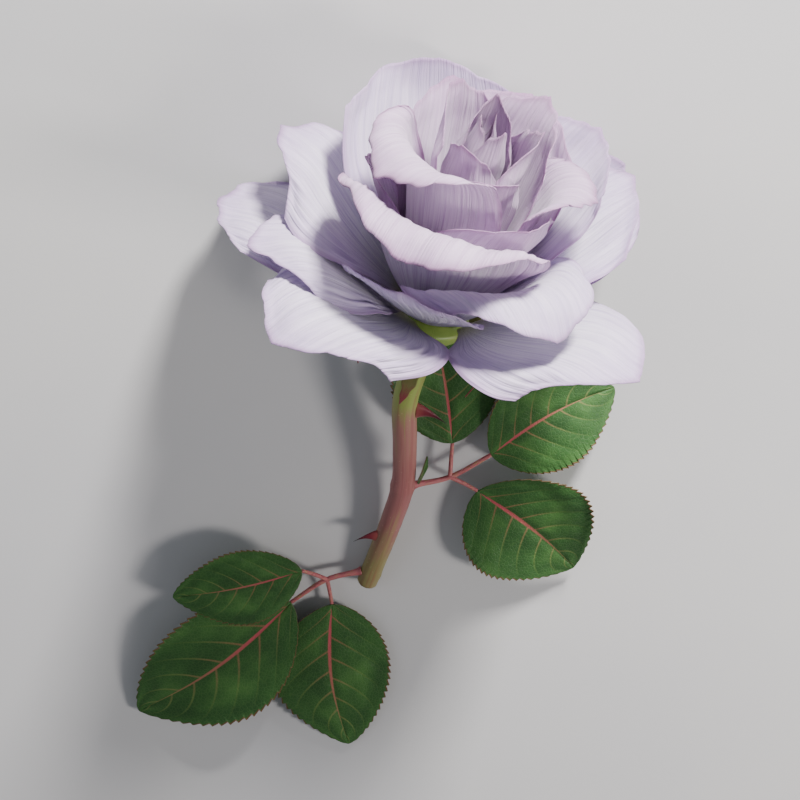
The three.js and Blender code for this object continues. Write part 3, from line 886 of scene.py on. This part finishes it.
def stalk(name, at, fork, rows):
    """A leaf stalk from a share of the stem's length to its fork, and on to the foot of each leaflet."""
    base, down, radius = on_stem(at)
    fork = np.array(fork, float)
    start = base + square_to(fork - base, down) * (radius - STALK_SUNK)
    ends = [np.array(row[1], float) for row in rows]
    line = curve([start, fork, ends[0]], 60)
    t = np.linspace(0, 1, 60)
    radii = STALK_RADIUS * (1 + (STALK_PINCH - 1) * t) * (1 + STALK_FOOT * np.exp(-t / 0.05))
    limb(name + "_grown", line, radii * STALK_SLIMMING, 20, name, stalk_skin)
    for k, end in enumerate(ends[1:]):
        sag = (fork + end) / 2 + np.array(BRANCH_SAG)
        radii = STALK_RADIUS * STALK_PINCH * np.linspace(1, 0.8, 30)
        limb(f"{name}_branch_{k}", curve([fork, sag, end], 30), radii, 16, name, stalk_skin)
    print(name, "reaches", len(rows), "leaflets")


stalk("stalk_left", LEAF_JOINTS[1], (-32.7, -102.1, -23), leaflets[:3])
stalk("stalk_right", LEAF_JOINTS[0], (5, -65.3, -21.5), leaflets[3:])

# %% [markdown]
# ## Leaf finish
#
# The blade is dark green and a little glossy. The midrib and side veins are pink-red near the stalk and
# fade to yellow-green outwards. Side veins leave the midrib in pairs and curve up to the margin, and a fine
# net fills the fields between them. The teeth are tipped with red. The underside is paler. Noise never
# gives veins in pairs, so they come from a formula in the blade's own directions, and a cell pattern gives
# the net.

# %% Leaf finish
VEIN_PAIRS = 7.0
VEIN_SLANT = 0.3
VEIN_CURVE = 1.25
VEIN_STAGGER = 0.35  # how far the left side's veins are out of step with the right side's
NET_SCALE = 900

blade = Finish("leaf_blade", roughness=0.45, specular=0.22)
across, along = blade.across_along()[1:]
from_rib = blade.math("ABSOLUTE", blade.math("SUBTRACT", blade.math("MULTIPLY", across, 2.0), 1.0))
left = blade.math("MULTIPLY", blade.math("LESS_THAN", across, 0.5), VEIN_STAGGER)
climb = blade.math("MULTIPLY", blade.math("POWER", from_rib, VEIN_CURVE), VEIN_SLANT)
order = blade.math("ADD", blade.math("MULTIPLY", blade.math("SUBTRACT", along, climb), VEIN_PAIRS), left)
field = blade.math("ABSOLUTE", blade.math("SUBTRACT", blade.math("FRACT", order), 0.5))
vein = blade.math("MULTIPLY", blade.step(field, 0.075, 0.015), blade.step(from_rib, 1.0, 0.55))
rib_width = blade.step(along, 1.0, 0.0, 0.008, 0.04)
rib = blade.step(blade.math("SUBTRACT", from_rib, rib_width), 0.012, -0.012)
net = blade.node("ShaderNodeTexVoronoi", feature="DISTANCE_TO_EDGE")
net.inputs["Scale"].default_value = NET_SCALE
blade.join(blade.node("ShaderNodeTexCoord").outputs["Object"], net.inputs["Vector"])
mesh_lines = blade.step(net.outputs["Distance"], 0.12, 0.0)
clouds = blade.noise((3, 3, 1), detail=4)
grain = blade.noise((90, 90, 1), detail=2)
color = blade.ramp(clouds, (0.25, "2C4A2A"), (0.5, "3C6233"), (0.75, "547F42"))
color = blade.mix(blade.math("MULTIPLY", mesh_lines, 0.14), color, "6F9152")
color = blade.mix(blade.math("MULTIPLY", vein, 0.25), color, "6F8A4A")
reddish = blade.ramp(blade.math("ADD", along, from_rib), (0.25, "B9565C"), (0.65, "A5705A"), (1.0, "8D9558"))
color = blade.mix(blade.math("MULTIPLY", vein, blade.step(from_rib, 0.7, 0.1, 0, 0.4)), color, reddish)
color = blade.mix(rib, color, reddish)
color = blade.mix(blade.step(from_rib, 0.965, 0.995, 0, 0.6), color, "87403C")
underside = blade.math("SUBTRACT", 1.0, blade.mark("outer"))
color = blade.mix(blade.math("MULTIPLY", underside, 0.45), color, "8FA283")
height = blade.math("SUBTRACT", blade.math("MULTIPLY", grain, 0.25), blade.math("MULTIPLY", mesh_lines, 0.35))
blade.bump(height, 0.25, 0.6)
leaf_skin = blade.color(color, glow=0.12)
print("leaf finish:", leaf_skin.name)

# %% [markdown]
# ## Leaflets
#
# Each blade runs from its foot to its tip, arched and a little bowed. The margin is cut into teeth that lean
# towards the tip, the blade puffs up between the side veins, and the margin waves gently. An outline with a
# see-through mask would be quicker, but its teeth would be flat and have no edge. Here the grid's own margin
# makes them, and the same vein formula as in the finish lifts the fields between the painted veins.

# %% Leaflet sheets
TEETH = 23
TOOTH_SLOPE = 0.8  # the share of a tooth that rises before it drops back
TOOTH_DEPTH = 0.055
TOOTH_LEAN = 0.012
FULL_PUFF = 0.25
GROOVE = 0.5
LEAF_RIPPLE = 0.9
BLADE_SHEET = 0.5
MIDRIB = 0.5


def grow_leaf(row, columns=61, rows=181, teeth=TEETH, puff=FULL_PUFF):
    """One leaflet as a fine closed sheet. The stipule takes fewer points and teeth, and puffs up less."""
    name, foot, tip, width, tilt, bow, arch, stand = row
    dice = np.random.default_rng(sum(map(ord, name)))
    u, v = np.meshgrid(np.sin(np.linspace(-1, 1, columns) * np.pi / 2), np.linspace(0, 1, rows))
    base = np.array(foot, float)
    along = np.array(tip, float) - base
    across = np.array([-along[1], along[0], 0.0])
    across /= np.linalg.norm(across)
    turn = Matrix.Rotation(math.radians(tilt), 3, Vector(along))
    across = np.array(turn @ Vector(across))
    up = np.cross(along, across)
    up /= np.linalg.norm(up)
    side = np.abs(u)
    tooth = (v * teeth + 0.3 * (u > 0)) % 1.0
    bite = np.where(tooth < TOOTH_SLOPE, tooth / TOOTH_SLOPE, (1 - tooth) / 0.2)
    half = width / 2 * (0.02 + 0.98 * np.sin(np.pi * v**0.85) ** 0.75)
    wave = np.sin(np.pi * v)
    saw = side**10 * (bite - 0.4) * TOOTH_DEPTH * width / 2 * wave**0.4
    order = VEIN_PAIRS * (v - VEIN_SLANT * side**VEIN_CURVE) + VEIN_STAGGER * (u < 0)
    pillow = puff * np.abs(np.cos(np.pi * order)) ** 0.7 * blend(side, 0.02, 0.2)
    pillow *= blend(side, 1.0, 0.75) * wave
    relief = puff / FULL_PUFF
    groove = -GROOVE * np.exp(-((side / 0.06) ** 2)) * relief
    ripple = LEAF_RIPPLE * waves(dice, u, v, 2, 4.5) * blend(side, 0.5, 1) * wave * relief
    points = base + v[..., None] * along
    points = points + (u * half + np.sign(u) * saw + bow * wave)[..., None] * across
    points = points + (arch * wave + stand * u * u * wave + pillow + groove + ripple)[..., None] * up
    points = points + (side**10 * bite * TOOTH_LEAN)[..., None] * along * wave[..., None]
    points = pressed(points, LEAF_THICKNESS / 2 - SEAT_HEIGHT)
    thickness = BLADE_SHEET * (1 - 0.55 * side**3) + MIDRIB * np.exp(-((side / 0.08) ** 2)) * (1 - v)
    sheet(name + "_grown", points, u, v, thickness, name, leaf_skin)


for row in leaflets:
    grow_leaf(row)
grow_leaf(stipule, columns=15, rows=50, teeth=9, puff=0.05)
print("leaflets:", len(leaflets), "and one stipule")

# %% [markdown]
# ## Table
#
# The rose lies on a plain pale table. One flat colour would look like empty space, so a wide plane has a
# faint drift of colour and a fine grain. It isn't part of the rose, so it is only staged.

# %% Table
TABLE_SIZE = 6
TABLE_DROP = 0.0002  # the table lies this far under the rose, so that no faces share a plane

table = Finish("table_top", roughness=0.7, specular=0.2)
cloth = table.noise((9, 9, 9), detail=5, grown=False)
table.bump(table.noise((900, 900, 900), detail=2, grown=False), 0.05, 0.3)
table_top = table.color(table.ramp(cloth, (0.3, "C4C4C6"), (0.7, "CCCBCA")))
bpy.ops.mesh.primitive_plane_add(size=TABLE_SIZE, location=(0, 0, -TABLE_DROP))
floor = bpy.context.object
floor.name = "table"
floor.data.materials.append(table_top)
print("table:", TABLE_SIZE, "m wide")

# %% [markdown]
# ## Light
#
# Petals are pale and thin, so it is their shadows that show their shape. One big lamp overhead would wash
# them out. The key light is small and comes from beyond the bloom, a little to the right, so the rolled
# lips throw their shadows into the cups below them. A weak fill lifts the left side, and a weak side light
# from the other end brings out the stem and the leaves. All of them are placed by the directions that the
# view looks along.

# %% Light
VIEW_ELEVATION = 65
HEART_HEIGHT = 30

right = Vector((1, 0, 0))
slant = math.radians(VIEW_ELEVATION)
toward = Vector((0, math.cos(slant), math.sin(slant)))
upward = toward.cross(right)
heart = Vector(seat) + Vector(axis) * HEART_HEIGHT * mm


def soft_light(name, direction, distance, size, power, color):
    """A square lamp that faces the bloom's heart, in metres and watts."""
    lamp = bpy.data.lights.new(name, "AREA")
    lamp.size = size
    lamp.energy = power
    lamp.color = color
    made = bpy.data.objects.new(name, lamp)
    bpy.context.collection.objects.link(made)
    made.location = heart + direction.normalized() * distance
    made.rotation_euler = direction.to_track_quat("Z", "Y").to_euler()


soft_light("key", right * 0.35 + upward * 0.65 + toward * 0.7, 0.8, 0.14, 24, (1.0, 0.97, 0.95))
soft_light("fill", right * -0.8 + toward * 0.7, 0.9, 0.6, 1.2, (0.85, 0.9, 1.0))
soft_light("side", right * 0.8 - upward * 0.55 + toward * 0.5, 0.6, 0.12, 2.4, (1.0, 0.95, 0.92))
print("lights:", [lamp.name for lamp in bpy.data.lights])

# %% Studio
STUDIO_COLOR = (0.8, 0.84, 0.9, 1)
STUDIO_STRENGTH = 0.22

world = bpy.data.worlds.new("studio")
bpy.context.scene.world = world
world.use_nodes = True
world.node_tree.nodes["Background"].inputs["Color"].default_value = STUDIO_COLOR
world.node_tree.nodes["Background"].inputs["Strength"].default_value = STUDIO_STRENGTH
print("studio strength:", STUDIO_STRENGTH)

# %% [markdown]
# ## View
#
# From straight above, the bloom would be seen from its side, because it lies down. The view looks down at a
# slant instead, so that it shows the bloom's heart, with the stem running away below it. A longer lens than
# usual keeps the near leaves from looking too big.

# %% View
LENS = 70
SENSOR = 36
DISTANCE = 0.42
VIEW_LEFT = 0.010
VIEW_DOWN = 0.027

camera = bpy.data.cameras.new("view")
camera.lens = LENS
camera.sensor_width = SENSOR
camera.dof.use_dof = False
eye = bpy.data.objects.new("view", camera)
bpy.context.collection.objects.link(eye)
eye.rotation_euler = Matrix((right, upward, toward)).transposed().to_euler()
eye.location = Vector(seat) + toward * DISTANCE - right * VIEW_LEFT - upward * VIEW_DOWN
bpy.context.scene.camera = eye
print("eye at", [round(x, 3) for x in eye.location])

# %% [markdown]
# ## Sizes
#
# The finer rose must fill the same space as the frame's. Here the scene is brought up to date, so that every
# piece's place is current.

# %% Sizes
bpy.context.view_layer.update()
